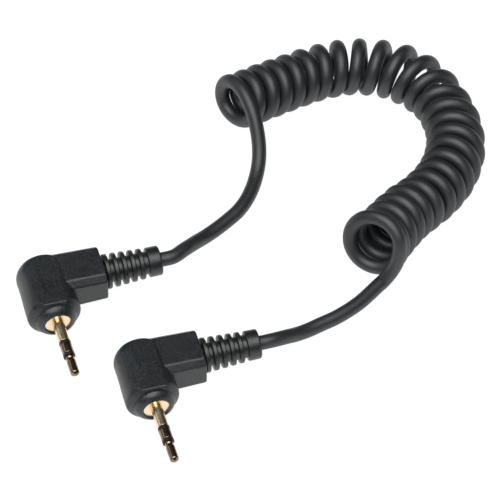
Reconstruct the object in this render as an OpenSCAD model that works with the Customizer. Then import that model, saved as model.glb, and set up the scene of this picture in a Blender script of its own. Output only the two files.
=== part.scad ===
// Curly shutter-release lead: two right-angle moulded 2.5 mm three-pole plugs joined by a coiled cord.
// Millimetres, +Z up. The plugs lie flat on z = 0 with their pins along -Y and their cord ends along +X.
// Inside a plug, "reach" is a distance along the pin, measured from the axis of the cable arm.

/* [Pin] */
// Diameter of the three-pole pin
pin_d = 2.5; // [2.4:0.05:2.6]
// Length of the pin from its flange to its tip
pin_len = 14.3; // [13.6:0.1:15]
// Length of the sleeve pole in front of the flange
sleeve_len = 4.7; // [4:0.1:5]
// Length of the insulator between sleeve and ring
ring_gap = 1.0; // [0.8:0.1:1.2]
// Length of the ring pole
ring_len = 2.2; // [2:0.1:2.5]
// Length of the insulator between ring and tip
tip_gap = 1.3; // [1:0.1:1.4]
// Diameter of the flange that seats in the nose
flange_d = 5.6; // [5.2:0.1:5.8]
// Thickness of the flange
flange_t = 0.8; // [0.6:0.1:1]

/* [Housing] */
// Diameter of the head that carries the pin
head_d = 11.2; // [11:0.1:12]
// Height of the housing between its flats
head_h = 10; // [9.6:0.1:10.2]
// Reach of the flange's face in front of the cable arm's axis
flange_reach = 10.9; // [10.6:0.1:11.4]
// Distance of the housing's back behind the cable arm's axis
head_back = 5.2; // [5:0.1:5.6]
// Length of the cable arm from the pin's axis
arm_len = 12.5; // [12:0.1:13]
// Height of the cable arm at its free end
arm_h = 7.8; // [7.4:0.1:8.2]
// Slant cut off the arm's long edges
arm_edge = 1.35; // [1:0.05:1.5]

/* [Strain relief] */
// Outer diameter of the first rib
rib_d = 7.5; // [7:0.1:7.8]
// Outer diameter of the plain collar at the cord's exit
collar_d = 6.4; // [6:0.1:6.6]
// Diameter of the core at the bottom of the grooves
groove_d = 4.9; // [4.6:0.1:5.2]
// Number of ribs
rib_count = 5; // [4:1:5]
// Distance from one rib to the next
rib_pitch = 1.85; // [1.7:0.05:1.9]
// Length of the strain relief outside the arm
relief_len = 12.5; // [12.3:0.1:13]

/* [Cord] */
// Diameter of the cord
cord_d = 3.1; // [3:0.05:3.2]
// Diameter of the wound tube, drawn slimmer than the cord so that its turns stand clear
wound_d = 2.5; // [2.3:0.05:2.5]
// Bore of the cord's jacket round its three cores
jacket_bore = 2.2; // [2.1:0.05:2.3]
// Diameter of each insulated core
core_d = 0.95; // [0.85:0.05:0.95]
// Diameter of the bare copper in each core
copper_d = 0.5; // [0.4:0.05:0.6]

/* [Hidden] */
PLUG_NODES = [
    "housing", "strain_relief", "inner_mould", "sleeve_contact", "ring_insulator", "ring_contact",
    "tip_insulator", "tip_contact", "rear_washers", "ground_lug", "ring_lug", "tip_lug",
    "solder_joints", "copper_ends", "red_core", "white_core", "ground_core", "cord_jacket"
];

// Place of plug b, measured from plug a
plug_offset = [13.8, -27.6];

// The origin is the bottom centre of the box round both plugs
relief_end = arm_len + relief_len;
plug_a = [
    -(plug_offset.x + relief_end - head_d / 2) / 2,
    (flange_reach + pin_len - head_back - plug_offset.y) / 2,
    head_h / 2
];
plug_b = plug_a + [plug_offset.x, plug_offset.y, 0];

// Reaches along the pin, from the back of the contact stack to the tip
tip_end = flange_reach + pin_len;
sleeve_end = flange_reach + sleeve_len;
ring_start = sleeve_end + ring_gap;
ring_end = ring_start + ring_len;
tip_start = ring_end + tip_gap;
flange_back = flange_reach - flange_t;
lug_t = 0.4;
ground_back = flange_back - lug_t;
ring_lug_front = ground_back - 1.3;
ring_lug_back = ring_lug_front - lug_t;
tip_lug_front = ring_lug_back - 0.5;
tip_lug_back = tip_lug_front - lug_t;
rivet_back = tip_lug_back - 0.4;

// Radii of the coaxial contacts and insulators
pin_r = pin_d / 2;
shank_r = pin_r + 0.2;
rod_r = 0.4;
tip_tube_r = 0.65;
ring_tube_r = 0.85;
ring_cover_r = 1.05;
stack_r = 1.9;
rivet_r = 0.8;

// Soldering tabs stand out of the stack at these angles, one above another
tab_angles = [-42, 0, 42];
tab_len = 3.2;
tab_w = 1.1;
solder_r = 0.55;

// Where each core runs: its place in the jacket, then its corner behind the stack
core_ring_r = 0.62;
core_angles = [-150, -30, 90];
jacket_end = 9.4;
bare_len = 0.8;

// Inner mould that holds the stack and the cores
mould_r = 4;
mould_back = -3.2;
mould_x = 10.9;
mould_y = 2.6;
mould_z = 2.7;

// Anchor of the strain relief inside the arm
anchor_t = 0.8;
anchor_r = 3.3;
neck_r = 2.6;

// Nose and shoulders of the head
head_r = head_d / 2;
lip_reach = flange_reach + 0.1;
lip_r = flange_d / 2 + 0.25;
bead_reach = flange_reach - 1.35;
bead_r = head_r - 1.25;
shoulder_reach = flange_reach - 2.75;
shoulder_round = 0.9;
back_round = 3.4;

// Flat panel on top of the head: its front edge stands over the nose
panel_reach = 9.55;
panel_w = 5.1;
top_slope = 2.2;

// Route of lead a, from the mouth of its strain relief to the coil
lead_a_route = [
    [8.4, 23.8, 5], [11.4, 23.9, 5], [14, 25.4, 4.6], [17, 27.7, 3.3], [20, 29.8, 2.1], [23, 31.6, 1.65],
    [26, 33.4, 1.55], [28.7, 35.2, 1.55], [31, 37.4, 1.55], [33, 40, 1.55], [34.7, 42.8, 1.6]
];
// Route of the coil's first end, up from the table to the first turn
rise_route = [
    [34.7, 42.8, 1.6], [35.87, 44.99, 2.14], [36.65, 46.74, 2.98], [37.21, 48.5, 4.12], [37.52, 50.1, 5.36],
    [37.65, 51.4, 6.44], [37.69, 52.61, 7.44], [37.66, 54.09, 8.57], [37.51, 55.72, 9.59], [37.17, 57.84, 10.51],
    [36.76, 59.83, 10.95]
];
// Route of the coil's last end, down to the table
fall_route = [
    [56.72, 9.04, 9.97], [56.35, 8.61, 8.01], [55.94, 8.47, 6.54], [55.36, 8.4, 5.06], [54.6, 8.31, 3.71],
    [53.77, 8.17, 2.66], [52.81, 7.93, 1.76], [51.24, 7, 1.6], [49.62, 5.9, 1.55], [46, 3.6, 1.55]
];
// Route of lead b, from the coil to the mouth of its strain relief
lead_b_route = [
    [46, 3.6, 1.55], [43, 2.2, 1.55], [40, 1.1, 1.55], [37.2, 0.4, 1.55], [34.2, -0.5, 1.7], [31.2, -1.6, 2.5],
    [28.2, -2.8, 3.9], [25.2, -3.7, 4.9], [22.2, -3.8, 5]
];
// Directions in which the leads meet the coil's ends
join_a_dir = [0.496, 0.862, 0.102];
join_b_dir = [-0.873, -0.488, 0];

// Axis of the coil on the table, at even shares of the turns
coil_axis = [
    [34.22, 61.18], [40.81, 62.35], [47.51, 63.65], [54.83, 64.75], [63, 64.26], [71.23, 60.25],
    [76.86, 52.74], [78.6, 43.7], [77.13, 35.36], [73.03, 28.65], [67.68, 24.17], [61.61, 20.78],
    [56.38, 16.71], [51.58, 12.38]
];
// Turns round the axis, from the front going up to the outer side going down, and the part of them that
// is wound: the routes above and below take over at its ends
turns = 26.5;
first_turn = 0.25;
last_turn = 26.4;
// Radius of the turns, lean of their tops and turn of their sides, each as [turn, value]
coil_radius = [
    [0, 4.73], [1, 4.61], [2, 4.69], [5, 4.57], [7, 4.58], [9, 4.66], [11, 4.96],
    [13, 4.49], [17, 4.94], [21, 4.81], [24, 5.15], [25.5, 5.38], [26.5, 6.63]
];
coil_lean = [
    [0, 0.27], [1, 0.3], [2, 0.29], [5, 0.22], [7, 0.15], [9, 0.09], [11, 0.1],
    [13, -0.06], [17, -0.23], [21, -0.17], [24, -0.28], [25.5, -0.3], [26.5, -0.42]
];
coil_turn = [
    [0, 0.27], [1, 0.22], [2, 0.23], [5, 0.16], [7, 0.07], [9, 0.05], [11, 0.04],
    [13, -0.14], [17, -0.04], [21, 0.32], [24, 0.11], [25.5, 0.07], [26.5, 0.07]
];
rings_per_turn = 8;
axis_steps = 16;

// ---- Placing ----

// Carries +Z onto the pin's direction, so that heights become reaches
module on_pin() {
    rotate([90, 0, 0]) children();
}

// Carries +Z onto the cable arm's direction
module on_arm() {
    rotate([0, 90, 0]) children();
}

// A body of revolution about the pin, from [radius, reach] points
module turned(points) {
    on_pin() rotate_extrude($fn = 64) polygon(points);
}

// A tube about the pin between two reaches
module pin_tube(outer, inner, from, to) {
    turned([[inner, from], [outer, from], [outer, to], [inner, to]]);
}

// Points of a rounded corner, turning from angle a to angle b about its centre
function arc(centre, r, a, b, steps = 6) =
    [for (i = [0:steps]) centre + r * [cos(a + (b - a) * i / steps), sin(a + (b - a) * i / steps)]];

// ---- Housing ----

// Turned form of the head: rounded back, tapered shoulder, a crease, and a bead round the flange
module head_turned() {
    turned(concat(
        [[0, -head_back]],
        arc([head_r - back_round, -head_back + back_round], back_round, -90, 0, 8),
        arc([head_r - shoulder_round, shoulder_reach], shoulder_round, 0, 45, 4),
        [[bead_r + 0.05, bead_reach - 0.05], [bead_r - 0.12, bead_reach + 0.05]],
        arc([lip_r - 0.82, lip_reach - 2.04], 2.2, 19, 68, 6),
        [[0, lip_reach]]
    ));
}

// Block under the flat panel, running on over the shoulder to a straight front edge
module panel_block() {
    half = panel_w / 2;
    translate([0, 0, 2.5]) linear_extrude(head_h / 2) polygon([
        [-half, 0], [-half, -panel_reach + 0.35], [-half + 0.3, -panel_reach],
        [half - 0.2, -panel_reach], [half, -panel_reach + 0.2], [half, 0]
    ]);
}

// The flats: level underneath, falling slightly to the back on top
module head() {
    difference() {
        union() {
            head_turned();
            panel_block();
        }
        translate([-head_d, -2 * head_d, -head_h / 2 - head_d])
            cube([2 * head_d, 4 * head_d, head_d]);
        translate([0, -panel_reach, head_h / 2])
            rotate([-top_slope, 0, 0])
            translate([-head_d, -1, 0])
            cube([2 * head_d, 2 * head_d, head_d]);
    }
}

// Eight-sided section of the cable arm, standing across X
module arm_section(x, half_w, top, bottom, edge) {
    translate([x, 0, 0]) rotate([90, 0, 90]) linear_extrude(0.02) polygon([
        [half_w - edge, top], [half_w, top - edge], [half_w, bottom + edge], [half_w - edge, bottom],
        [edge - half_w, bottom], [-half_w, bottom + edge], [-half_w, top - edge], [edge - half_w, top]
    ]);
}

// Cable arm: tapers towards the cord, with its end's edges eased
module arm() {
    half = arm_h / 2;
    hull() {
        arm_section(-1.4, head_back - 0.7, half - 0.6, -half, arm_edge + 0.4);
        arm_section(0.4, head_back, half + 0.5, -half - 0.3, arm_edge);
        arm_section(arm_len - 0.4, head_back - 0.1, half + 0.05, -half, arm_edge);
        arm_section(arm_len - 0.02, head_back - 0.4, half - 0.2, -half + 0.25, arm_edge);
    }
}

// Space that the inner mould and the contact stack fill
module mould_form() {
    pin_tube(mould_r, 0, mould_back, flange_back);
    translate([0, -mould_y, -mould_z]) cube([mould_x, 2 * mould_y, 2 * mould_z]);
}

module housing() {
    color("#2b2e30") difference() {
        union() {
            head();
            arm();
        }
        mould_form();
        pin_tube(flange_d / 2, 0, flange_back - 0.5, lip_reach + 1);
        turned([
            [0, flange_reach], [flange_d / 2, flange_reach], [lip_r - 0.1, lip_reach],
            [lip_r - 0.1, lip_reach + 1], [0, lip_reach + 1]
        ]);
        translate([mould_x, 0, 0]) on_arm() cylinder(r = anchor_r, h = anchor_t, $fn = 64);
        translate([mould_x, 0, 0]) on_arm() cylinder(r = neck_r, h = 3, $fn = 64);
    }
}

// ---- Strain relief ----

// Outline of one rib, as [x, radius] points with eased crests
function rib(i) = let (
    x = arm_len + 0.35 + i * rib_pitch,
    r = (rib_d - (rib_d - collar_d) * 0.8 * i / (rib_count - 1)) / 2,
    g = groove_d / 2
) [[x, g], [x + 0.08, r - 0.25], [x + 0.3, r], [x + 0.75, r], [x + 0.97, r - 0.25], [x + 1.05, g]];

module strain_relief() {
    collar_x = arm_len + 0.45 + rib_count * rib_pitch;
    collar_r = collar_d / 2;
    outline = concat(
        [[mould_x, cord_d / 2], [mould_x, anchor_r], [mould_x + anchor_t, anchor_r]],
        [[mould_x + anchor_t, neck_r], [arm_len, neck_r], [arm_len, groove_d / 2]],
        [for (i = [0:rib_count - 1]) each rib(i)],
        [[collar_x, groove_d / 2], [collar_x + 0.08, collar_r - 0.2], [collar_x + 0.3, collar_r]],
        [[relief_end - 0.35, collar_r - 0.05], [relief_end, collar_r - 0.4], [relief_end, cord_d / 2]]
    );
    color("#26292b") on_arm() rotate_extrude($fn = 64) polygon([for (p = outline) [p.y, p.x]]);
}

// ---- Contact stack ----

module sleeve_contact() {
    color("#d8b25c") turned([
        [ring_cover_r, ground_back], [shank_r, ground_back], [shank_r, flange_back],
        [flange_d / 2, flange_back], [flange_d / 2, flange_reach], [pin_r, flange_reach],
        [pin_r, sleeve_end], [ring_cover_r, sleeve_end]
    ]);
}

module ring_insulator() {
    color("#16181a") turned([
        [ring_tube_r, ring_lug_front], [ring_cover_r, ring_lug_front], [ring_cover_r, sleeve_end],
        [pin_r, sleeve_end], [pin_r, ring_start], [ring_tube_r, ring_start]
    ]);
}

module ring_contact() {
    color("#d8b25c") turned([
        [tip_tube_r, ring_lug_back], [ring_tube_r, ring_lug_back], [ring_tube_r, ring_start],
        [pin_r, ring_start], [pin_r, ring_end], [tip_tube_r, ring_end]
    ]);
}

module tip_insulator() {
    color("#16181a") turned([
        [rod_r, tip_lug_front], [tip_tube_r, tip_lug_front], [tip_tube_r, ring_end],
        [pin_r, ring_end], [pin_r, tip_start], [rod_r, tip_start]
    ]);
}

// Tip pole with its waist, barrel and blunt cone, on the rod that is riveted behind the stack
module tip_contact() {
    color("#d8b25c") turned([
        [0, rivet_back], [rivet_r - 0.2, rivet_back], [rivet_r, rivet_back + 0.2],
        [rivet_r, tip_lug_back], [rod_r, tip_lug_back], [rod_r, tip_start],
        [pin_r - 0.4, tip_start], [pin_r - 0.4, tip_start + 0.45], [pin_r - 0.12, tip_start + 1.1],
        [pin_r - 0.05, tip_start + 2], [pin_r - 0.12, tip_end - 1.25], [pin_r - 0.3, tip_end - 1.05],
        [pin_r - 0.75, tip_end - 0.1], [pin_r - 0.9, tip_end], [0, tip_end]
    ]);
}

module rear_washers() {
    color("#c9b48a") {
        pin_tube(stack_r, ring_cover_r, ring_lug_front, ground_back);
        pin_tube(stack_r, tip_tube_r, tip_lug_front, ring_lug_back);
    }
}

// A stamped lug: a disc on its pole, with a tab towards its core
module lug(hole_r, from, to, angle) {
    pin_tube(stack_r, hole_r, from, to);
    tab(from, to, angle);
}

module tab(from, to, angle) {
    rotate([0, -angle, 0])
        translate([stack_r - 0.4, -to, -tab_w / 2])
        cube([tab_len + 0.9 - stack_r, to - from, tab_w]);
}

module ground_lug() {
    color("#c8c2b0") lug(shank_r, ground_back, flange_back, tab_angles[0]);
}

module ring_lug() {
    color("#c8c2b0") lug(ring_tube_r, ring_lug_back, ring_lug_front, tab_angles[1]);
}

module tip_lug() {
    color("#c8c2b0") lug(rod_r, tip_lug_back, tip_lug_front, tab_angles[2]);
}

// ---- Cores ----

lug_backs = [ground_back, ring_lug_back, tip_lug_back];

// Place of core i across the jacket, and the line it follows past the stack
function core_seat(i) = core_ring_r * [cos(core_angles[i]), sin(core_angles[i])];
function core_corner(i) = [
    tab_len * cos(tab_angles[i]), -core_seat(i).x, tab_len * sin(tab_angles[i])
];
function core_start(i) = [relief_end, -core_seat(i).x, core_seat(i).y];
function core_bend(i) = [jacket_end, -core_seat(i).x, core_seat(i).y];
function core_stop(i, left) = [core_corner(i).x, -lug_backs[i] + left, core_corner(i).z];

// The core's line, with its two corners eased
function eased(p, k) = [
    for (i = [0:len(p) - 1]) each i == 0 || i == len(p) - 1 ? [p[i]] : let (
        before = p[i] + k * unit(p[i - 1] - p[i]),
        after = p[i] + k * unit(p[i + 1] - p[i])
    ) [before, (before + after + 2 * p[i]) / 4, after]
];

// Insulated core: straight in the jacket, fanned out behind the stack, then forward to its tab
module core(i) {
    route = [core_start(i), core_bend(i), core_corner(i), core_stop(i, bare_len)];
    tube(eased(route, 0.7), core_d, 8, [-1, 0, 0], [0, -1, 0]);
}

// Carries +Z backwards from the tab of core i
module on_tab(i) {
    translate(core_stop(i, 0)) rotate([-90, 0, 0]) children();
}

module red_core() {
    color("#b3262a") core(2);
}

module white_core() {
    color("#e4e2da") core(1);
}

module ground_core() {
    color("#9a6a3a") core(0);
}

module copper_ends() {
    color("#c77b45") for (i = [0:2]) on_tab(i) cylinder(d = copper_d, h = bare_len, $fn = 24);
}

// A fillet of solder round each copper end, wetting the tab
module solder_fillet() {
    cylinder(r1 = solder_r, r2 = copper_d / 2 + 0.1, h = bare_len, $fn = 32);
}

module solder_joints() {
    color("#b9bcc0") for (i = [0:2]) on_tab(i) difference() {
        solder_fillet();
        translate([0, 0, -1]) cylinder(d = copper_d, h = bare_len + 2, $fn = 24);
    }
}

module cord_jacket() {
    color("#1d2022") translate([jacket_end, 0, 0]) on_arm() difference() {
        cylinder(d = cord_d, h = relief_end - jacket_end, $fn = 48);
        translate([0, 0, -1]) cylinder(d = jacket_bore, h = relief_end, $fn = 48);
    }
}

// Hard mould injected round the stack, the solder joints and the fanned cores
module inner_mould() {
    color("#d9d6cc") difference() {
        mould_form();
        pin_tube(stack_r, 0, tip_lug_back, flange_back + 1);
        pin_tube(rivet_r, 0, rivet_back, tip_lug_back + 0.1);
        for (i = [0:2]) {
            tab(lug_backs[i], lug_backs[i] + lug_t, tab_angles[i]);
            on_tab(i) solder_fillet();
            core(i);
        }
        translate([jacket_end, 0, 0]) on_arm() cylinder(d = cord_d, h = 5, $fn = 48);
    }
}

// ---- Cord ----

// Straight-line reading of a list of [turn, value] pairs
function reading(list, t) = lookup(t, list);

// A smooth curve through hand-set points, as a dense list of points
function smooth(p, steps) = let (n = len(p) - 1) concat(
    [for (i = [0:n - 1]) let (
        a = i == 0 ? 2 * p[0] - p[1] : p[i - 1],
        b = p[i],
        c = p[i + 1],
        d = i == n - 1 ? 2 * p[n] - p[n - 1] : p[i + 2]
    ) for (k = [0:steps - 1]) let (
        u = k / steps,
        bend = (2 * a - 5 * b + 4 * c - d) * u * u,
        swing = (3 * b - a - 3 * c + d) * u * u * u
    ) (2 * b + (c - a) * u + bend + swing) / 2],
    [p[n]]
);

// Running length along a list of points
function step_len(p, i) = i + 1 < len(p) ? norm(p[i + 1] - p[i]) : 0;
function running(p) = [for (i = 0, s = 0; i < len(p); s = s + step_len(p, i), i = i + 1) s];

axis_points = smooth(coil_axis, axis_steps);
axis_x = [for (i = [0:len(axis_points) - 1]) [i * turns / (len(axis_points) - 1), axis_points[i].x]];
axis_y = [for (i = [0:len(axis_points) - 1]) [i * turns / (len(axis_points) - 1), axis_points[i].y]];

// Point of the coil's axis at a turn, and its direction
function on_axis(t) = [lookup(t, axis_x), lookup(t, axis_y)];
function axis_dir(t) = let (v = on_axis(min(t + 0.1, turns)) - on_axis(max(t - 0.1, 0))) v / norm(v);

// Centre of the wound cord at a turn: a left-handed helix about the axis, resting on the table
function helix(t) = let (
    c = on_axis(t),
    v = axis_dir(t),
    r = reading(coil_radius, t),
    along = r * (reading(coil_lean, t) * sin(360 * t) + reading(coil_turn, t) * cos(360 * t)),
    side = r * cos(360 * t)
) [
    c.x + along * v.x + side * v.y,
    c.y + along * v.y - side * v.x,
    r + cord_d / 2 + r * sin(360 * t)
];

// Cross product of two directions, and a direction of length one
function cross3(a, b) = [a.y * b.z - a.z * b.y, a.z * b.x - a.x * b.z, a.x * b.y - a.y * b.x];
function unit(v) = v / norm(v);

// Directions along a route; its ends may be given, so that two tubes meet square
function headings(p, first, last) = [for (i = [0:len(p) - 1])
    i == 0 && first != undef ? unit(first)
    : i == len(p) - 1 && last != undef ? unit(last)
    : unit(p[min(i + 1, len(p) - 1)] - p[max(i - 1, 0)])];

// Side direction carried along the route without twist
function carried(h, i, n) = i >= len(h) ? []
    : let (m = unit(n - (n * h[i]) * h[i])) concat([m], carried(h, i + 1, m));

// A closed tube swept along a route
module tube(p, d, sides, first, last) {
    h = headings(p, first, last);
    n = carried(h, 0, abs(h[0].z) > 0.9 ? [1, 0, 0] : [0, 0, 1]);
    points = [for (i = [0:len(p) - 1]) let (m = cross3(h[i], n[i])) for (k = [0:sides - 1])
        p[i] + d / 2 * (cos(360 * k / sides) * n[i] + sin(360 * k / sides) * m)];
    last_ring = len(p) - 1;
    faces = concat(
        [[for (k = [0:sides - 1]) k]],
        [for (i = [0:last_ring - 1]) for (k = [0:sides - 1]) let (j = (k + 1) % sides)
            each [[i * sides + k, (i + 1) * sides + k, (i + 1) * sides + j],
                  [i * sides + k, (i + 1) * sides + j, i * sides + j]]],
        [[for (k = [sides - 1:-1:0]) last_ring * sides + k]]
    );
    polyhedron(points, faces);
}

// Points of the wound part, so many to a turn
function wound(per_turn) = let (n = round((last_turn - first_turn) * per_turn))
    [for (i = [0:n]) helix(first_turn + (last_turn - first_turn) * i / n)];

coil_points = concat(
    rise_route,
    wound(rings_per_turn),
    fall_route
);

// Least gap between neighbouring turns of the wound tube, measured on points of its centre line
wound_points = wound(24);
least_gap = min([for (i = [0:3:len(wound_points) - 34]) for (j = [i + 16:i + 32])
    norm(wound_points[j] - wound_points[i])]) - wound_d;
echo(least_gap_between_turns = least_gap);

// Length of the cord from one strain relief to the other
function route_len(p) = let (r = running(p)) r[len(r) - 1];
echo(cord_length = route_len(smooth(lead_a_route, 6)) + route_len(rise_route) + route_len(wound_points)
    + route_len(fall_route) + route_len(smooth(lead_b_route, 6)));

module lead_a() {
    color("#1d2022") tube(lead_a_route, cord_d, 8, [1, 0, 0], join_a_dir);
}

module curly_cord() {
    color("#1d2022") tube(coil_points, wound_d, 6, join_a_dir, join_b_dir);
}

module lead_b() {
    color("#1d2022") tube(lead_b_route, cord_d, 8, join_b_dir, [-1, 0, 0]);
}

// ---- Assembly ----

for (k = ["a", "b"]) translate(k == "a" ? plug_a : plug_b) {
    housing();
    strain_relief();
    inner_mould();
    sleeve_contact();
    ring_insulator();
    ring_contact();
    tip_insulator();
    tip_contact();
    rear_washers();
    ground_lug();
    ring_lug();
    tip_lug();
    solder_joints();
    copper_ends();
    red_core();
    white_core();
    ground_core();
    cord_jacket();
}
lead_a();
curly_cord();
lead_b();
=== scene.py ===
import math

import bmesh
import bpy
import numpy as np
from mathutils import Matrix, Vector


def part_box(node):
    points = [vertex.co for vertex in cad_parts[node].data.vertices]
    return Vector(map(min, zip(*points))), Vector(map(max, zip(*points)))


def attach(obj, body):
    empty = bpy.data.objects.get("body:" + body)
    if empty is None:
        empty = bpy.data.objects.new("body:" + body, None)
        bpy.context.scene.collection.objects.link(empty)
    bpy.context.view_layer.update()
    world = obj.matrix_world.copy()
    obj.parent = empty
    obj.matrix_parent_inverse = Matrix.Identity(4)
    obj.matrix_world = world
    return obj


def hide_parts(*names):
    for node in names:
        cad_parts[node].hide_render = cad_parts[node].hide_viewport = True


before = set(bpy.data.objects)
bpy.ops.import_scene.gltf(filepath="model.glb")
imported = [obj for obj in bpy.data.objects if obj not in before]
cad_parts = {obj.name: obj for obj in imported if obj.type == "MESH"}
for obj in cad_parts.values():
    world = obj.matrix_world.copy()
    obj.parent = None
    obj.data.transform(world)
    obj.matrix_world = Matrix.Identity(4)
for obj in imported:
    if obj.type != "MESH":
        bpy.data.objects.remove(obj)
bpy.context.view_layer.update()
print("frame loaded:", len(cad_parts), "CAD nodes")

mm = 0.001  # sizes below are in millimetres, and meshes are made in metres


# Seen from the front left, half way up, through a very long lens. Angles in degrees, lens and sensor in
# millimetres, and what the camera shows lies between two distances in metres
camera = dict(elevation=49.63, azimuth=-15.82, target=(28.6, 25.35, 0.0), distance=1273.2, lens=432.0,
              sensor=36, shown=(0.1, 20))


def makeCamera():
    e, a = math.radians(camera["elevation"]), math.radians(camera["azimuth"])
    back = Vector((math.sin(a) * math.cos(e), -math.cos(a) * math.cos(e), math.sin(e)))
    data = bpy.data.cameras.new("camera")
    data.lens, data.sensor_width = camera["lens"], camera["sensor"]
    data.clip_start, data.clip_end = camera["shown"]
    obj = bpy.data.objects.new("camera", data)
    obj.location = (Vector(camera["target"]) + back * camera["distance"]) * mm
    obj.rotation_mode = "QUATERNION"
    obj.rotation_quaternion = (-back).to_track_quat("-Z", "Y")
    bpy.context.scene.collection.objects.link(obj)
    bpy.context.scene.camera = obj


makeCamera()
bpy.context.scene.view_settings.view_transform = "Standard"
print("camera placed")


# A node's output: + - * on it, or on a number and it, add Math nodes
class Socket:
    def __init__(self, tree, link):
        self.tree, self.link = tree, link

    def maths(self, operation, a, b=0.0):
        return self.tree.add("ShaderNodeMath", dict(operation=operation), {0: a, 1: b})

    def __add__(self, other):
        return self.maths("ADD", self, other)

    def __radd__(self, other):
        return self.maths("ADD", other, self)

    def __sub__(self, other):
        return self.maths("SUBTRACT", self, other)

    def __rsub__(self, other):
        return self.maths("SUBTRACT", other, self)

    def __mul__(self, other):
        return self.maths("MULTIPLY", self, other)

    def __rmul__(self, other):
        return self.maths("MULTIPLY", other, self)

    def cosine(self):
        return self.maths("COSINE", self)

    def sine(self):
        return self.maths("SINE", self)

    def larger(self, other):
        return self.maths("MAXIMUM", self, other)

    def clipped(self):
        # kept between 0 and 1
        return self.maths("MINIMUM", self, 1.0).larger(0.0)

    def beside(self, output):
        # another output of the same node, by its name
        return Socket(self.tree, self.link.node.outputs[output])


# A node tree: add() takes a node's type, its settings, and its inputs by name or number
class Tree:
    def __init__(self, nodeTree):
        self.nodeTree = nodeTree
        nodeTree.nodes.clear()

    def add(self, kind, settings=None, inputs=None, out=0):
        node = self.nodeTree.nodes.new(kind)
        for key, value in (settings or {}).items():
            setattr(node, key, value)
        for key, value in (inputs or {}).items():
            if isinstance(value, Socket):
                self.nodeTree.links.new(value.link, node.inputs[key])
            else:
                node.inputs[key].default_value = value
        return Socket(self, node.outputs[out]) if len(node.outputs) else None

    def noise(self, scale, detail=2, roughness=0.5, place=None):
        place = place or self.add("ShaderNodeTexCoord", out="Object")
        inputs = {"Vector": place, "Scale": scale, "Detail": detail, "Roughness": roughness}
        return self.add("ShaderNodeTexNoise", None, inputs)

    def mix(self, share, a, b):
        # of two colours, by this node's numbered colour sockets
        return self.add("ShaderNodeMix", dict(data_type="RGBA"), {0: share, 6: a, 7: b}, out=2)

    def shades(self, share, look):
        # between the look's dark and light greys, both tinted
        dark, light = [(*(look[key] * t for t in look["tint"]), 1) for key in ("dark", "light")]
        return self.mix(share, dark, light)

    def bump(self, height, distance, strength):
        inputs = {"Height": height, "Distance": distance * mm, "Strength": strength}
        return self.add("ShaderNodeBump", None, inputs)

    def surface(self, **inputs):
        # the shader, with its sockets under short names, and the material's output
        names = dict(colour="Base Color", rough="Roughness", metal="Metallic", normal="Normal", ior="IOR")
        shader = self.add("ShaderNodeBsdfPrincipled", None, {names[key]: inputs[key] for key in inputs})
        self.add("ShaderNodeOutputMaterial", None, {"Surface": shader})


def newMaterial(name):
    material = bpy.data.materials.new(name)
    material.use_nodes = True
    return material, Tree(material.node_tree)


# In the looks below, grain, patches and marks are scales of noise. A share says how far a noise moves the
# colour, a rough how far it moves the roughness, and bump is a height in millimetres

# Housing plastic: near-black and cool, with a spark-eroded grain all over
housingLook = dict(dark=0.006, light=0.036, tint=(0.84, 1.0, 1.13), roughness=0.40, bump=0.03, ior=1.6,
                   grain=2400, grainShare=2.4, grainRough=0.2, patches=260, patchShare=0.5, patchRough=0.16)


def housingPlastic():
    look = housingLook
    material, tree = newMaterial("housingPlastic")
    grain = tree.noise(look["grain"], roughness=0.6)
    patches = tree.noise(look["patches"], detail=3, roughness=0.55)
    share = (grain - 0.5) * look["grainShare"] + (patches - 0.5) * look["patchShare"] + 0.5
    rough = look["roughness"] + (patches - 0.5) * look["patchRough"] + (grain - 0.5) * look["grainRough"]
    tree.surface(
        colour=tree.shades(share.clipped(), look), rough=rough.clipped(), ior=look["ior"],
        normal=tree.bump(grain, look["bump"], strength=0.8))
    return material


# Softer plastic of the strain reliefs
reliefLook = dict(dark=0.008, light=0.02, tint=(0.88, 1.0, 1.08), roughness=0.38, bump=0.012, ior=1.65,
                  grain=7000, patches=320, patchRough=0.2)


def reliefPlastic():
    look = reliefLook
    material, tree = newMaterial("reliefPlastic")
    grain = tree.noise(look["grain"])
    patches = tree.noise(look["patches"], detail=3, roughness=0.6)
    rough = look["roughness"] + (patches - 0.5) * look["patchRough"]
    tree.surface(
        colour=tree.shades(patches, look), rough=rough.clipped(), ior=look["ior"],
        normal=tree.bump(grain, look["bump"], strength=0.6))
    return material


# Extruded jacket: satin, with faint lines drawn out along the cord. They are read on a circle of the radius
# lines, and lineBump is their part of the bump, beside the grain's
cordLook = dict(dark=0.010, light=0.020, tint=(0.78, 1.0, 1.16), roughness=0.5, bump=0.008, ior=1.75,
                lines=4.0, drawn=0.03, lineRough=0.1, lineBump=0.7, grain=5000, patches=240, patchRough=0.14)


def cordJacket():
    look = cordLook
    material, tree = newMaterial("cordJacket")
    run = tree.add("ShaderNodeSeparateXYZ", None, {0: tree.add("ShaderNodeUVMap", dict(uv_map="cordRun"))})
    turn = run * (2 * math.pi)
    # the place on a circle, so that the lines close round the cord, and a small share of the length
    ring = tree.add("ShaderNodeCombineXYZ", None, {
        0: turn.cosine() * look["lines"], 1: turn.sine() * look["lines"], 2: run.beside("Y") * look["drawn"]})
    lines = tree.noise(1.0, place=ring)
    patches = tree.noise(look["patches"], detail=3, roughness=0.55)
    grain = tree.noise(look["grain"])
    rough = look["roughness"] + (patches - 0.5) * look["patchRough"] + (lines - 0.5) * look["lineRough"]
    height = lines * look["lineBump"] + grain * (1 - look["lineBump"])
    tree.surface(
        colour=tree.shades(patches, look), rough=rough.clipped(), ior=look["ior"],
        normal=tree.bump(height, look["bump"], strength=0.6))
    return material


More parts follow.
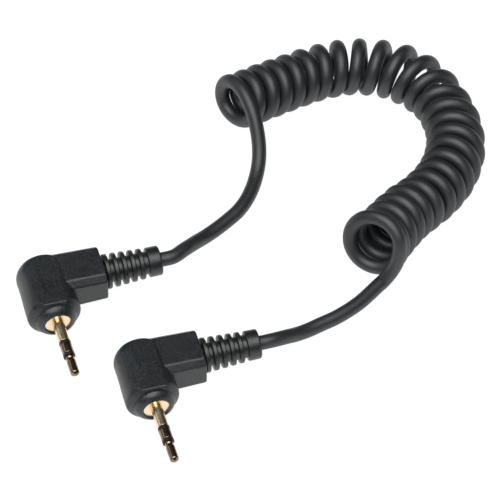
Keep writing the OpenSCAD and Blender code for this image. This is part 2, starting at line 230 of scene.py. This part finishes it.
# Gold plate, satin, with fine turning marks round the pin. The marks' noise is stretched across the pin's
# axis. Each plate is a deep and a pale colour, and a roughness. The second plate is the same gold painted
# darker: painted shade for the ring and tip poles, which reflect less light than the sleeve
goldLook = dict(marks=26000, stretch=0.05, markRough=0.08, patches=900, patchRough=0.1, bump=0.0007,
                plate=((0.94, 0.71, 0.45), (0.98, 0.84, 0.61), 0.29),
                shadedPlate=((0.16, 0.115, 0.08), (0.42, 0.31, 0.21), 0.22))


def goldPlate(name, deep, pale, roughness):
    look = goldLook
    material, tree = newMaterial(name)
    place = tree.add("ShaderNodeTexCoord", out="Object")
    scale = (look["stretch"], 1.0, look["stretch"])
    along = tree.add("ShaderNodeMapping", None, {"Vector": place, "Scale": scale})
    marks = tree.noise(look["marks"], roughness=0.6, place=along)
    patches = tree.noise(look["patches"], detail=3, roughness=0.6)
    rough = roughness + (patches - 0.5) * look["patchRough"] + (marks - 0.5) * look["markRough"]
    tree.surface(
        colour=tree.mix(patches, (*deep, 1), (*pale, 1)), metal=1.0, rough=rough.clipped(),
        normal=tree.bump(marks, look["bump"], strength=0.5))
    return material


# Finishes of the small parts and of what is sealed inside: mottled between two colours
mottle = dict(patches=1500, patchRough=0.2, bump=0.004)


def mottled(name, dark, light, roughness, metal=0.0):
    material, tree = newMaterial(name)
    patches = tree.noise(mottle["patches"], detail=3, roughness=0.6)
    rough = roughness + (patches - 0.5) * mottle["patchRough"]
    tree.surface(
        colour=tree.mix(patches, (*dark, 1), (*light, 1)), metal=metal, rough=rough.clipped(),
        normal=tree.bump(patches, mottle["bump"], strength=0.4))
    return material


finishes = dict(
    housing=housingPlastic(),
    relief=reliefPlastic(),
    cord=cordJacket(),
    gold=goldPlate("goldPlate", *goldLook["plate"]),
    # the same gold painted darker: painted shade for the ring and tip poles
    shadedGold=goldPlate("shadedGold", *goldLook["shadedPlate"]),
    insulator=mottled("insulatorPlastic", (0.010, 0.010, 0.011), (0.018, 0.018, 0.019), 0.38),
    mould=mottled("naturalMould", (0.74, 0.71, 0.64), (0.84, 0.82, 0.76), 0.5),
    washer=mottled("washerLaminate", (0.48, 0.37, 0.22), (0.62, 0.5, 0.33), 0.6),
    lug=mottled("tinnedLug", (0.66, 0.64, 0.58), (0.8, 0.78, 0.73), 0.32, 1.0),
    solder=mottled("solderMetal", (0.6, 0.61, 0.62), (0.78, 0.79, 0.8), 0.3, 1.0),
    copper=mottled("copperStrands", (0.72, 0.36, 0.2), (0.85, 0.5, 0.32), 0.35, 1.0),
    red=mottled("redInsulation", (0.55, 0.05, 0.06), (0.7, 0.1, 0.1), 0.45),
    white=mottled("whiteInsulation", (0.78, 0.77, 0.73), (0.88, 0.87, 0.84), 0.45),
    brown=mottled("brownInsulation", (0.34, 0.2, 0.11), (0.48, 0.3, 0.18), 0.45),
)
print("finishes made:", len(finishes))


def unit(v):
    # vectors over their own lengths
    return v / np.linalg.norm(v, axis=-1, keepdims=True)


def smoothStep(x):
    # 0 up to 0, 1 from 1, and between them three squares less two cubes
    x = np.clip(x, 0, 1)
    return x * x * (3 - 2 * x)


def softMin(a, b, width):
    # the smaller of two values, with their crossing rounded over a width
    share = np.clip(0.5 + 0.5 * (b - a) / width, 0, 1)
    return a * share + b * (1 - share) - width * share * (1 - share) / 2


def runningLength(points):
    # at each point, the sum of the steps so far
    return np.concatenate([[0], np.cumsum(np.linalg.norm(np.diff(points, axis=0), axis=1))])


def resampled(points, run, places):
    # points read off at other places along their running length, by straight lines
    return np.stack([np.interp(places, run, points[:, k]) for k in range(points.shape[1])], -1)


def gridObject(name, grid, run=None):
    # A grid of points (rows, columns, xyz) becomes quads, each row closed on itself. run gives each row's
    # place along a length: the UV map then holds (share of the way round, length)
    rows, cols = grid.shape[:2]
    i, j = np.meshgrid(np.arange(rows - 1), np.arange(cols), indexing="ij")
    after = (j + 1) % cols
    quads = np.stack([i * cols + j, (i + 1) * cols + j, (i + 1) * cols + after, i * cols + after], -1)
    mesh = bpy.data.meshes.new(name)
    mesh.from_pydata((grid.reshape(-1, 3) * mm).tolist(), [], quads.reshape(-1, 4).tolist())
    if run is not None:
        u = np.stack([j, j, j + 1, j + 1], -1) / cols
        v = np.stack([run[i], run[i + 1], run[i + 1], run[i]], -1)
        layer = mesh.uv_layers.new(name="cordRun")
        layer.data.foreach_set("uv", np.stack([u, v], -1).astype(np.float32).ravel())
    obj = bpy.data.objects.new(name, mesh)
    bpy.context.scene.collection.objects.link(obj)
    return obj


sameSpot = 0.0002  # vertices closer than this are one


def sealed(obj):
    # doubles merged and faces turned outwards, shaded smooth
    work = bmesh.new()
    work.from_mesh(obj.data)
    bmesh.ops.remove_doubles(work, verts=work.verts, dist=sameSpot * mm)
    bmesh.ops.recalc_face_normals(work, faces=work.faces)
    work.to_mesh(obj.data)
    work.free()
    obj.data.shade_smooth()
    return obj


def capped(grid):
    # a last ring at each end, shrunk to its own middle, closes the tube
    first, last = [np.repeat(grid[k].mean(0)[None], grid.shape[1], 0)[None] for k in (0, -1)]
    return np.concatenate([first, grid, last])


def dressed(obj, finish, slotName, *nodes):
    obj.data.materials.clear()
    obj.data.materials.append(finishes[finish])
    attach(obj, "root")
    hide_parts(*nodes)
    return obj


def arc(centre, radius, start, end, steps):
    # centre plus radius times (cosine, sine), between two angles in degrees
    t = np.radians(np.linspace(start, end, steps))
    return np.stack([centre[0] + radius * np.cos(t), centre[1] + radius * np.sin(t)], -1)


outline = dict(straight=1.55, quarter=1.57, shortest=0.001)  # half angle, quarter turn, and least step


def filleted(corners, spacing, steps=8):
    # Corners are (across, along, round). Each becomes an arc tangent to both its sides, of so many steps in a
    # quarter turn: its centre lies on the corner's bisector, the round over the sine of the half angle away.
    # The line is then filled in so that no gap is wider than the spacing
    points = np.array([c[:2] for c in corners], float)
    line = [points[:1]]
    for k in range(1, len(points) - 1):
        before, after = unit(points[k - 1] - points[k]), unit(points[k + 1] - points[k])
        half = math.acos(np.clip(before @ after, -1, 1)) / 2
        if corners[k][2] == 0 or half > outline["straight"]:
            line.append(points[k:k + 1])
            continue
        centre = points[k] + unit(before + after) * corners[k][2] / math.sin(half)
        first = points[k] + before * corners[k][2] / math.tan(half) - centre
        last = points[k] + after * corners[k][2] / math.tan(half) - centre
        sweep = math.pi - 2 * half
        t = np.linspace(0, 1, max(3, int(steps * sweep / outline["quarter"]) + 2))[:, None]
        line.append(centre + (np.sin((1 - t) * sweep) * first + np.sin(t * sweep) * last) / math.sin(sweep))
    line = np.concatenate([*line, points[-1:]])
    run = runningLength(line)
    fill = np.union1d(run, np.arange(0, run[-1], spacing))
    fill = fill[np.concatenate([[True], np.diff(fill) > outline["shortest"]])]
    return resampled(line, run, fill)


def revolved(name, profile, origin, axis, columns):
    # A profile of (radius, place along the axis) is turned about the axis, by the radius times the cosine and
    # the sine. The axis "pin" runs along -Y, and "arm" along +X
    turn = np.linspace(0, 2 * np.pi, columns, endpoint=False)
    a, b = profile[:, :1] * np.cos(turn), profile[:, :1] * np.sin(turn)
    along = np.repeat(profile[:, 1:], columns, 1)
    grid = np.stack([a, -along, b] if axis == "pin" else [along, a, b], -1)
    return sealed(gridObject(name, grid + np.array(origin)))


# One cord runs from plug a through the coil to plug b: lead a, a rise into the coil, the turns, a fall back
# to the table, and lead b. All but the turns pass through given points
cord = dict(diameter=3.1, sides=28, spacing=0.45, perTurn=24)
leadA = [(8.4, 23.8, 5), (11.4, 23.9, 5), (14, 25.4, 4.6), (17, 27.7, 3.3), (20, 29.8, 2.1),
         (23, 31.6, 1.65), (26, 33.4, 1.55), (28.7, 35.2, 1.55), (31, 37.4, 1.55), (33, 40, 1.55),
         (34.7, 42.8, 1.6)]
rise = [(35.87, 44.99, 2.14), (36.65, 46.74, 2.98), (37.21, 48.5, 4.12), (37.52, 50.1, 5.36),
        (37.65, 51.4, 6.44), (37.69, 52.61, 7.44), (37.66, 54.09, 8.57), (37.51, 55.72, 9.59),
        (37.17, 57.84, 10.51), (36.76, 59.83, 10.95)]
fall = [(56.72, 9.04, 9.97), (56.35, 8.61, 8.01), (55.94, 8.47, 6.54), (55.36, 8.4, 5.06),
        (54.6, 8.31, 3.71), (53.77, 8.17, 2.66), (52.81, 7.93, 1.76), (51.24, 7, 1.6),
        (49.62, 5.9, 1.55)]
leadB = [(46, 3.6, 1.55), (43, 2.2, 1.55), (40, 1.1, 1.55), (37.2, 0.4, 1.55), (34.2, -0.5, 1.7),
         (31.2, -1.6, 2.5), (28.2, -2.8, 3.9), (25.2, -3.7, 4.9), (22.2, -3.8, 5)]

# The coil: the turns that its axis is long, those between which it is wound, the axis on the table at even
# shares of the turns, with axisSteps steps from one point to the next, and the radius, lean and swing of the
# turns as (turn, value). The axis's direction is taken over a reach of turns to both sides
coil = dict(
    turns=26.5, first=0.25, last=26.4, axisSteps=16, reach=0.1,
    axis=[(34.22, 61.18), (40.81, 62.35), (47.51, 63.65), (54.83, 64.75), (63, 64.26), (71.23, 60.25),
          (76.86, 52.74), (78.6, 43.7), (77.13, 35.36), (73.03, 28.65), (67.68, 24.17), (61.61, 20.78),
          (56.38, 16.71), (51.58, 12.38)],
    radius=[(0, 4.73), (1, 4.61), (2, 4.69), (5, 4.57), (7, 4.58), (9, 4.66), (11, 4.96),
            (13, 4.49), (17, 4.94), (21, 4.81), (24, 5.15), (25.5, 5.38), (26.5, 6.63)],
    lean=[(0, 0.27), (1, 0.3), (2, 0.29), (5, 0.22), (7, 0.15), (9, 0.09), (11, 0.1),
          (13, -0.06), (17, -0.23), (21, -0.17), (24, -0.28), (25.5, -0.3), (26.5, -0.42)],
    swing=[(0, 0.27), (1, 0.22), (2, 0.23), (5, 0.16), (7, 0.07), (9, 0.05), (11, 0.04),
           (13, -0.14), (17, -0.04), (21, 0.32), (24, 0.11), (25.5, 0.07), (26.5, 0.07)])


def throughPoints(points, steps):
    # Catmull-Rom curve: a cubic between two points, whose slope at each comes from its neighbours
    p = np.array(points, float)
    p = np.concatenate([[2 * p[0] - p[1]], p, [2 * p[-1] - p[-2]]])
    a, b, c, d = p[:-3, None], p[1:-2, None], p[2:-1, None], p[3:, None]
    u = (np.arange(steps) / steps)[None, :, None]
    bend, swing = (2 * a - 5 * b + 4 * c - d) * u ** 2, (3 * b - a - 3 * c + d) * u ** 3
    return np.concatenate([((2 * b + (c - a) * u + bend + swing) / 2).reshape(-1, p.shape[1]), p[-2:-1]])


def coilPoints(t):
    # Left-handed helix round the axis: the radius times the cosine across the axis and times the sine
    # upwards, on the table. Each turn leans along the axis by the sine of its angle and swings by the cosine
    axis = throughPoints(coil["axis"], coil["axisSteps"])
    shares = np.linspace(0, coil["turns"], len(axis))

    def reading(key):
        pairs = np.array(coil[key])
        return np.interp(t, pairs[:, 0], pairs[:, 1])[:, None]

    before, after = t - coil["reach"], np.minimum(t + coil["reach"], coil["turns"])
    ahead = unit(resampled(axis, shares, after) - resampled(axis, shares, before))
    across = np.stack([ahead[:, 1], -ahead[:, 0]], -1)
    r, cosine, sine = reading("radius"), np.cos(2 * np.pi * t)[:, None], np.sin(2 * np.pi * t)[:, None]
    along = r * (reading("lean") * sine + reading("swing") * cosine)
    flat = resampled(axis, shares, t) + along * ahead + r * cosine * across
    return np.concatenate([flat, r + cord["diameter"] / 2 + r * sine], 1)


def cordPath():
    # a cubic through the whole route, with slopes taken over running length, read at an even spacing
    count = round((coil["last"] - coil["first"]) * cord["perTurn"])
    turns = coilPoints(np.linspace(coil["first"], coil["last"], count + 1))
    points = np.concatenate([leadA, rise, turns, fall, leadB])
    run = runningLength(points)
    slope = np.gradient(points, run, axis=0)
    s = np.linspace(0, run[-1], int(run[-1] / cord["spacing"]))
    k = np.clip(np.searchsorted(run, s, side="right") - 1, 0, len(run) - 2)
    h = (run[k + 1] - run[k])[:, None]
    u = (s - run[k])[:, None] / h
    return ((1 + 2 * u) * (1 - u) ** 2 * points[k] + u * (1 - u) ** 2 * h * slope[k]
            + u ** 2 * (3 - 2 * u) * points[k + 1] + u ** 2 * (u - 1) * h * slope[k + 1])


def sweptTube(path, radius, sides):
    # circles square to the path; each is turned back by the running sum of its frame's own twist
    ahead = unit(np.gradient(path, axis=0))
    side = unit(np.cross(ahead, [0.0, 0.0, 1.0]))
    up = np.cross(side, ahead)
    twist = np.arctan2((side[1:] * up[:-1]).sum(1), (side[1:] * side[:-1]).sum(1))
    back = -np.concatenate([[0], np.cumsum(twist)])[:, None]
    first, second = np.cos(back) * side + np.sin(back) * up, np.cos(back) * up - np.sin(back) * side
    turn = np.linspace(0, 2 * np.pi, sides, endpoint=False)[None, :, None]
    return path[:, None] + radius * (np.cos(turn) * first[:, None] + np.sin(turn) * second[:, None])


def makeCord():
    # one tube for the whole cord, with its running length in the UV map
    path = cordPath()
    run = runningLength(path)
    tube = capped(sweptTube(path, cord["diameter"] / 2, cord["sides"]))
    obj = sealed(gridObject("cord", tube, np.concatenate([[0], run, [run[-1]]])))
    dressed(obj, "cord", "cord_black", "lead_a", "curly_cord", "lead_b")
    tuple(path[0] * mm)
    (path * mm).tolist()
    print("cord made:", round(run[-1], 1), "mm long,", len(obj.data.polygons), "faces")


makeCord()


def plugOrigin(k):
    # where the pin's axis crosses the arm's, from the middles of two boxes in the frame
    low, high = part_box("sleeve_contact_" + k)
    armLow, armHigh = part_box("strain_relief_" + k)
    middles = (low.x + high.x) / 2, (armLow.y + armHigh.y) / 2, (low.z + high.z) / 2
    return [round(v / mm, 2) for v in middles]


# Head of the housing. Reaches run along the pin from the arm's axis, and the head is a turned profile of
# (radius, reach) that is cut flat above and below. The upper flat runs on past the shoulder as a tongue
head = dict(radius=5.6, back=-5.12, backRound=2.9, start=8.1, shoulder=8.585, shoulderRound=0.9,
            neck=(4.4, 9.5, 0.05), crease=9.6, creaseRadius=4.23, bead=(2.1, 9.2), beadRound=2.3,
            beadAngles=(19, 66), lip=11.38, lipRadius=2.82, lipWidth=0.1, lipDepth=0.11, lipRound=0.03,
            bore=2.74, boreFloor=10.05, boreRound=0.02, edgeRound=0.3, sharp=30,
            # the flats: height, fall to the back in degrees, front edge, angle of the side edges
            top=5.0, topSlope=2.2, panel=9.55, panelAngle=63.2, panelFade=1.7, tongue=0.6, tongueFade=0.5,
            # how far the tongue's corners are pulled back, from which half width, over how much width
            leftCorner=(0.35, 2.2, 0.35), rightCorner=(0.2, 2.3, 0.25),
            # the left flank's softer edge, and its swell towards the nose
            softEdge=1.3, softWidth=2.4, softStop=0.3, softFade=2.5,
            swell=0.3, swellStart=-1, swellRun=9)

# Its mesh: spacings along the profile and steps in its rounds, rows over the nose and the bead, degrees
# between columns, how far those stay clear of an edge, and the columns near the edge instead
headMesh = dict(bodySpacing=0.25, bodySteps=14, shoulderSpacing=0.02, shoulderSteps=24, frontSpacing=0.1,
                noseRows=34, beadRows=12, column=2.5, clear=5.6,
                near=[-5, -3.6, -2.6, -1.9, -1.4, -1, -0.6, -0.3, 0, 0.3, 0.6, 1, 1.4, 1.9, 2.6, 3.6, 5])


def headProfiles():
    # The turned profile, and the tongue's: it runs out flat, slowing down, and then drops back to the crease.
    # Both have as many rows
    h, fine = head, headMesh
    rows = fine["noseRows"]
    r, start, panel, crease = h["radius"], h["start"], h["panel"], h["crease"]
    creaseEnd = (h["creaseRadius"], crease)
    body = filleted([(0, h["back"], 0), (r, h["back"], h["backRound"]), (r, start, 0)],
                    fine["bodySpacing"], fine["bodySteps"])
    shoulder = filleted([(r, start, 0), (r, h["shoulder"], h["shoulderRound"]), h["neck"], (*creaseEnd, 0)],
                        fine["shoulderSpacing"], fine["shoulderSteps"])
    run = runningLength(shoulder)
    shoulder = resampled(shoulder, run, np.linspace(0, run[-1], rows))

    share = np.linspace(0, 1, rows)
    flat = np.minimum(share / h["tongue"], 1)
    wall = np.clip((share - h["tongue"]) / (1 - h["tongue"]), 0, 1)
    tongue = np.stack([r + (h["creaseRadius"] - r) * wall,
                       start + (panel - start) * (1 - (1 - flat) ** 2) + (crease - panel) * wall], -1)

    bead = arc(h["bead"], h["beadRound"], *h["beadAngles"], fine["beadRows"])
    lip, small = h["lip"], h["lipRound"]
    front = filleted([(*creaseEnd, 0), (*bead[0], small), *[(*p, 0) for p in bead[1:]],
                      (h["lipRadius"] + h["lipWidth"], lip, small), (h["lipRadius"], lip, small),
                      (h["bore"], lip - h["lipDepth"], h["boreRound"]), (h["bore"], h["boreFloor"], 0),
                      (0, h["boreFloor"], 0)], fine["frontSpacing"])
    return [np.concatenate([body, middle[1:], front[1:]]) for middle in (shoulder, tongue)]


def headSurface():
    # Columns are angles about the pin, rows go along the profile. Between the upper flat's side edges the
    # tongue's profile takes over, and a point is the radius times the cosine and sine of its angle, cut off
    # at the flats by a rounded smaller-of-two
    h = head
    r, e, edge = h["radius"], h["edgeRound"], h["panelAngle"]
    plain, proud = headProfiles()

    # columns: even, and close together on both sides of the four edges
    even = np.arange(headMesh["column"] - 180, 180.1, headMesh["column"])
    edges = np.array([edge, 180 - edge, -edge, edge - 180])
    even = even[np.abs(even[:, None] - edges).min(1) > headMesh["clear"]]
    base = np.sort(np.concatenate([even, (edges[:, None] + np.array(headMesh["near"])).ravel()]))

    # the tongue's two front corners are rounded back, the left one more
    across, fade = r * np.cos(np.radians(base)), h["panelFade"]
    pull = sum(depth * smoothStep((side * across - start) / width)
               for side, (depth, start, width) in ((-1, h["leftCorner"]), (1, h["rightCorner"])))
    inside = smoothStep((base - edge + fade) / fade) * smoothStep((180 - edge + fade - base) / fade)
    radius = plain[:, :1] + (proud[:, :1] - plain[:, :1]) * inside
    proudReach = np.repeat(proud[:, 1:], len(base), 1)
    past = np.clip((proudReach - h["start"]) / (h["panel"] - h["start"]), 0, 1)
    proudReach -= pull * past * np.clip((proud[:, :1] - h["creaseRadius"]) / h["tongueFade"], 0, 1)
    reach = plain[:, 1:] + (proudReach - plain[:, 1:]) * inside

    # each column's angle is moved so that the edge column lies where the flat cuts the cylinder
    fall = math.tan(math.radians(h["topSlope"]))
    cut = h["top"] - (h["panel"] - np.minimum(plain[:, 1:], h["panel"])) * fall
    topEdge = np.degrees(np.arcsin(np.clip(cut / r, 0, math.sin(math.radians(edge)))))
    height = np.where(base > 0, topEdge, edge)
    fold = 90 - np.abs(90 - np.abs(base))
    fold = np.where(fold < edge, fold * height / edge, 90 - (90 - fold) * (90 - height) / (90 - edge))
    angle = np.radians(np.sign(base) * np.where(np.abs(base) > 90, 180 - fold, fold))
    x, z = radius * np.cos(angle), radius * np.sin(angle)

    # the top plane falls to the back, and is rounded over at the front edge
    over = np.clip(reach - (h["panel"] - pull - e), 0, e)
    plane = h["top"] - (h["panel"] - np.minimum(reach, h["panel"])) * fall - e + np.sqrt(e * e - over ** 2)

    # the left flank runs softly into the top, and swells a little towards the nose
    left = smoothStep(-x / h["softWidth"])
    left = left * smoothStep((h["panel"] - h["softStop"] - reach) / h["softFade"])
    z = softMin(z, plane, e + (h["softEdge"] - e) * left)
    z = -softMin(-z, h["top"] + 0 * z, e)
    x = x - h["swell"] * np.clip(-x / r, 0, 1) * smoothStep((reach - h["swellStart"]) / h["swellRun"])
    return np.stack([x, -reach, z], -1)


# Cable arm: eight-sided stations of (x, half width, top, bottom, slant of the corners)
arm = dict(
    stations=[(-1.4, 4.5, 3.3, -3.9, 1.75), (0.4, 5.2, 4.4, -4.2, 1.35), (12.1, 5.1, 3.95, -3.9, 1.35),
              (12.48, 4.75, 3.6, -3.55, 1.3)],
    edgeRound=0.34, rootSteps=4, bodySteps=30, endSteps=7, edgeSteps=6)


def armSurface():
    # Sections blend along the arm, with the end eased over a quarter turn; each of the eight corners is a
    # quadratic curve between its two sides
    s = np.array(arm["stations"], float)
    t = np.linspace(0, np.pi / 2, arm["endSteps"])[1:]
    x = np.concatenate([np.linspace(s[0, 0], s[1, 0], arm["rootSteps"]),
                        np.linspace(s[1, 0], s[2, 0], arm["bodySteps"])[1:],
                        s[2, 0] + np.sin(t) * (s[3, 0] - s[2, 0])])
    body = len(x) - len(t)
    ease = 1 - np.cos(t)
    w, top, bottom, c = [
        np.concatenate([np.interp(x[:body], s[:3, 0], s[:3, k]), s[2, k] + ease * (s[3, k] - s[2, k])])
        for k in range(1, 5)]
    corners = np.stack([
        np.stack([w - c, top], -1), np.stack([w, top - c], -1), np.stack([w, bottom + c], -1),
        np.stack([w - c, bottom], -1), np.stack([c - w, bottom], -1), np.stack([-w, bottom + c], -1),
        np.stack([-w, top - c], -1), np.stack([c - w, top], -1)], 1)
    before = corners + arm["edgeRound"] * unit(np.roll(corners, 1, 1) - corners)
    after = corners + arm["edgeRound"] * unit(np.roll(corners, -1, 1) - corners)
    u = np.linspace(0, 1, arm["edgeSteps"])[None, None, :, None]
    before, corners, after = before[:, :, None], corners[:, :, None], after[:, :, None]
    ring = (1 - u) ** 2 * before + 2 * u * (1 - u) * corners + u ** 2 * after
    ring = ring.reshape(len(x), -1, 2)
    return capped(np.concatenate([np.repeat(x[:, None, None], ring.shape[1], 1), ring], -1))


def makeHousing(k, origin):
    # head and arm joined into one closed skin, with only its real edges sharp
    shell = sealed(gridObject("housing_shell_" + k, headSurface() + origin))
    armObj = sealed(gridObject("arm_" + k, armSurface() + origin))
    join = shell.modifiers.new("join", "BOOLEAN")
    join.operation, join.solver, join.object = "UNION", "EXACT", armObj
    solved = shell.evaluated_get(bpy.context.evaluated_depsgraph_get())
    joined = bpy.data.meshes.new_from_object(solved)
    shell.modifiers.clear()
    shell.data = joined
    bpy.data.objects.remove(armObj)
    joined.shade_smooth()
    joined.set_sharp_from_angle(angle=math.radians(head["sharp"]))
    dressed(shell, "housing", "housing_black", "housing_" + k)
    even = shell.modifiers.new("even shading", "WEIGHTED_NORMAL")
    even.keep_sharp = True
    print("housing", k, "made:", len(joined.polygons), "faces")


# Strain relief: ribs that shrink towards the cord, then a plain collar, from the pin's axis along the arm.
# A rib's sides slant by so much over their height
relief = dict(start=12.2, bore=1.45, groove=2.45, grooveRound=0.1,
              ribs=5, first=12.85, pitch=1.85, width=1.05, slant=0.06, ribRadius=3.75, shrink=0.44,
              edgeRound=0.24,
              collar=22.2, collarRadius=3.2, end=25.0, endRadius=3.15, endRound=0.38, spacing=0.2, columns=96)


def makeRelief(k, origin):
    # the outline runs from the bore out into the first groove, over rib after rib, round the collar and back
    f = relief
    groove, slant = f["groove"], f["slant"]
    corners = [(f["bore"], f["start"], 0), (groove, f["start"], 0)]
    for i in range(f["ribs"]):
        low, radius = f["first"] + f["pitch"] * i, f["ribRadius"] - f["shrink"] * i / (f["ribs"] - 1)
        high = low + f["width"]
        corners += [(groove, low, f["grooveRound"]), (radius, low + slant, f["edgeRound"]),
                    (radius, high - slant, f["edgeRound"]), (groove, high, f["grooveRound"])]
    corners += [(groove, f["collar"], f["grooveRound"]),
                (f["collarRadius"], f["collar"] + slant, f["edgeRound"]),
                (f["endRadius"], f["end"], f["endRound"]),
                (f["bore"], f["end"], 0), (f["bore"], f["start"], 0)]
    piece = revolved("relief_" + k, filleted(corners, f["spacing"]), origin, "arm", f["columns"])
    dressed(piece, "relief", "relief_black", "strain_relief_" + k)


# Contact stack: for each piece its finish, slot and node, and a closed outline of (radius, reach, round)
contacts = dict(
    sleeve_pole=("gold", "gold_plate", "sleeve_contact", [
        (1.05, 9.7, 0), (1.45, 9.7, 0), (1.45, 10.1, 0), (2.8, 10.1, 0.08), (2.8, 10.9, 0.08),
        (1.25, 10.9, 0.04), (1.25, 16.4, 0.05), (1.05, 16.4, 0), (1.05, 9.7, 0)]),
    ring_band=("insulator", "insulator_black", "ring_insulator", [
        (0.85, 8.4, 0), (1.05, 8.4, 0), (1.05, 16.4, 0), (1.27, 16.4, 0.04), (1.27, 17.2, 0.04),
        (0.85, 17.2, 0), (0.85, 8.4, 0)]),
    # the ring and tip poles take the darker gold: painted shade
    ring_pole=("shadedGold", "gold_plate", "ring_contact", [
        (0.65, 8.0, 0), (0.85, 8.0, 0), (0.85, 17.2, 0), (1.25, 17.2, 0.05), (1.25, 19.8, 0.14),
        (0.65, 19.8, 0), (0.65, 8.0, 0)]),
    tip_band=("insulator", "insulator_black", "tip_insulator", [
        (0.4, 7.5, 0), (0.65, 7.5, 0), (0.65, 19.8, 0), (1.27, 19.8, 0.04), (1.27, 20.35, 0.04),
        (0.4, 20.35, 0), (0.4, 7.5, 0)]),
    tip_pole=("shadedGold", "gold_plate", "tip_contact", [
        (0, 6.7, 0), (0.6, 6.7, 0.1), (0.8, 6.9, 0.1), (0.8, 7.1, 0), (0.4, 7.1, 0), (0.4, 20.35, 0),
        (0.95, 20.35, 0.03), (0.95, 20.8, 0.08), (0.8, 21.12, 0.15), (0.97, 21.7, 0.4),
        (0.95, 24.9, 0.1), (0.86, 25.08, 0.08), (0.3, 25.45, 0.1), (0, 25.48, 0)]),
)
contactMesh = dict(spacing=0.25, columns=72, sharp=50)


def makeContacts(k, origin):
    mesh = contactMesh
    for name, (finish, slotName, node, corners) in contacts.items():
        profile = filleted(corners, mesh["spacing"])
        piece = revolved(name + "_" + k, profile, origin, "pin", mesh["columns"])
        piece.data.set_sharp_from_angle(angle=math.radians(mesh["sharp"]))
        dressed(piece, finish, slotName, node + "_" + k)


for k in "ab":
    origin = np.array(plugOrigin(k))
    makeHousing(k, origin)
    makeRelief(k, origin)
    makeContacts(k, origin)

# CAD nodes sealed in the plugs keep their solids and get their own finishes
sealedNodes = dict(
    inner_mould="mould", rear_washers="washer", ground_lug="lug", ring_lug="lug", tip_lug="lug",
    solder_joints="solder", copper_ends="copper", red_core="red", white_core="white", ground_core="brown",
    cord_jacket="cord")
for name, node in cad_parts.items():
    finish = sealedNodes.get(name.rsplit("_", 1)[0])
    if finish:
        for slot in node.material_slots:
            slot.material = finishes[finish]
print("plugs made")


# White paper floor: camera, reflections and glass see it glow, and any other light falls on plain paper. Its
# height is in millimetres, its size in metres
floorLook = dict(height=-0.05, size=12.0, paper=0.85, glow=0.97, shade=0.12)


def makeFloor():
    # a square; what is seen is a faint diffuse shade added to the glow
    look = floorLook
    half, z = look["size"] / 2, look["height"] * mm
    corners = [(-half, -half, z), (half, -half, z), (half, half, z), (-half, half, z)]
    mesh = bpy.data.meshes.new("floor")
    mesh.from_pydata(corners, [], [(0, 1, 2, 3)])
    floor = bpy.data.objects.new("floor", mesh)
    bpy.context.scene.collection.objects.link(floor)

    material, tree = newMaterial("floorPaper")
    ray = tree.add("ShaderNodeLightPath", out="Is Camera Ray")
    seen = (ray + ray.beside("Is Glossy Ray") + ray.beside("Is Transmission Ray")).clipped()
    paper = tree.add("ShaderNodeBsdfDiffuse", None, {"Color": (look["paper"],) * 3 + (1,)})
    shade = tree.add("ShaderNodeBsdfDiffuse", None, {"Color": (look["shade"],) * 3 + (1,)})
    glow = tree.add("ShaderNodeEmission", None, {"Color": (1, 1, 1, 1), "Strength": look["glow"]})
    shown = tree.add("ShaderNodeAddShader", None, {0: shade, 1: glow})
    either = tree.add("ShaderNodeMixShader", None, {0: seen, 1: paper, 2: shown})
    tree.add("ShaderNodeOutputMaterial", None, {"Surface": either})
    mesh.materials.append(material)


# Soft boxes: a large one overhead, a thin card in front for the pins' roots, and a small one at the back on
# the left for the band along the pins. Watts, metres, and millimetres from the camera's target
lamps = dict(
    key=dict(power=11.5, size=(1.0, 1.1), place=(-160, -240, 950)),
    card=dict(power=0.25, size=(0.6, 0.14), place=(-100, -590, 805)),
    fill=dict(power=0.35, size=(0.35, 0.35), place=(-700, 500, 450)))


def makeLight(name, power, size, place):
    # a rectangle that faces the camera's target
    data = bpy.data.lights.new(name, "AREA")
    data.shape, data.size, data.size_y, data.energy = "RECTANGLE", *size, power
    lamp = bpy.data.objects.new(name, data)
    lamp.location = (Vector(camera["target"]) + Vector(place)) * mm
    lamp.rotation_mode = "QUATERNION"
    lamp.rotation_quaternion = (-Vector(place)).to_track_quat("-Z", "Y")
    bpy.context.scene.collection.objects.link(lamp)


# Levels of the sky at the horizon and overhead. It fades from one to the other upwards from a height
sky = dict(horizon=0.12, overhead=0.04, start=0.02, fade=5.0)


def makeWorld():
    # the fade is the direction's height over the start, times a factor; the camera sees white
    world = bpy.data.worlds.new("studio")
    world.use_nodes = True
    bpy.context.scene.world = world
    tree = Tree(world.node_tree)
    direction = tree.add("ShaderNodeSeparateXYZ", None, {0: tree.add("ShaderNodeTexCoord", out="Generated")})
    up = ((direction.beside("Z") - sky["start"]) * sky["fade"]).clipped()
    level = sky["horizon"] + up * (sky["overhead"] - sky["horizon"])
    level = level.larger(tree.add("ShaderNodeLightPath", out="Is Camera Ray"))
    background = tree.add("ShaderNodeBackground", None, {"Color": (1, 1, 1, 1), "Strength": level})
    tree.add("ShaderNodeOutputWorld", None, {"Surface": background})


makeFloor()
for name, lamp in lamps.items():
    makeLight(name, **lamp)
makeWorld()
print("studio made:", len(lamps), "lights")
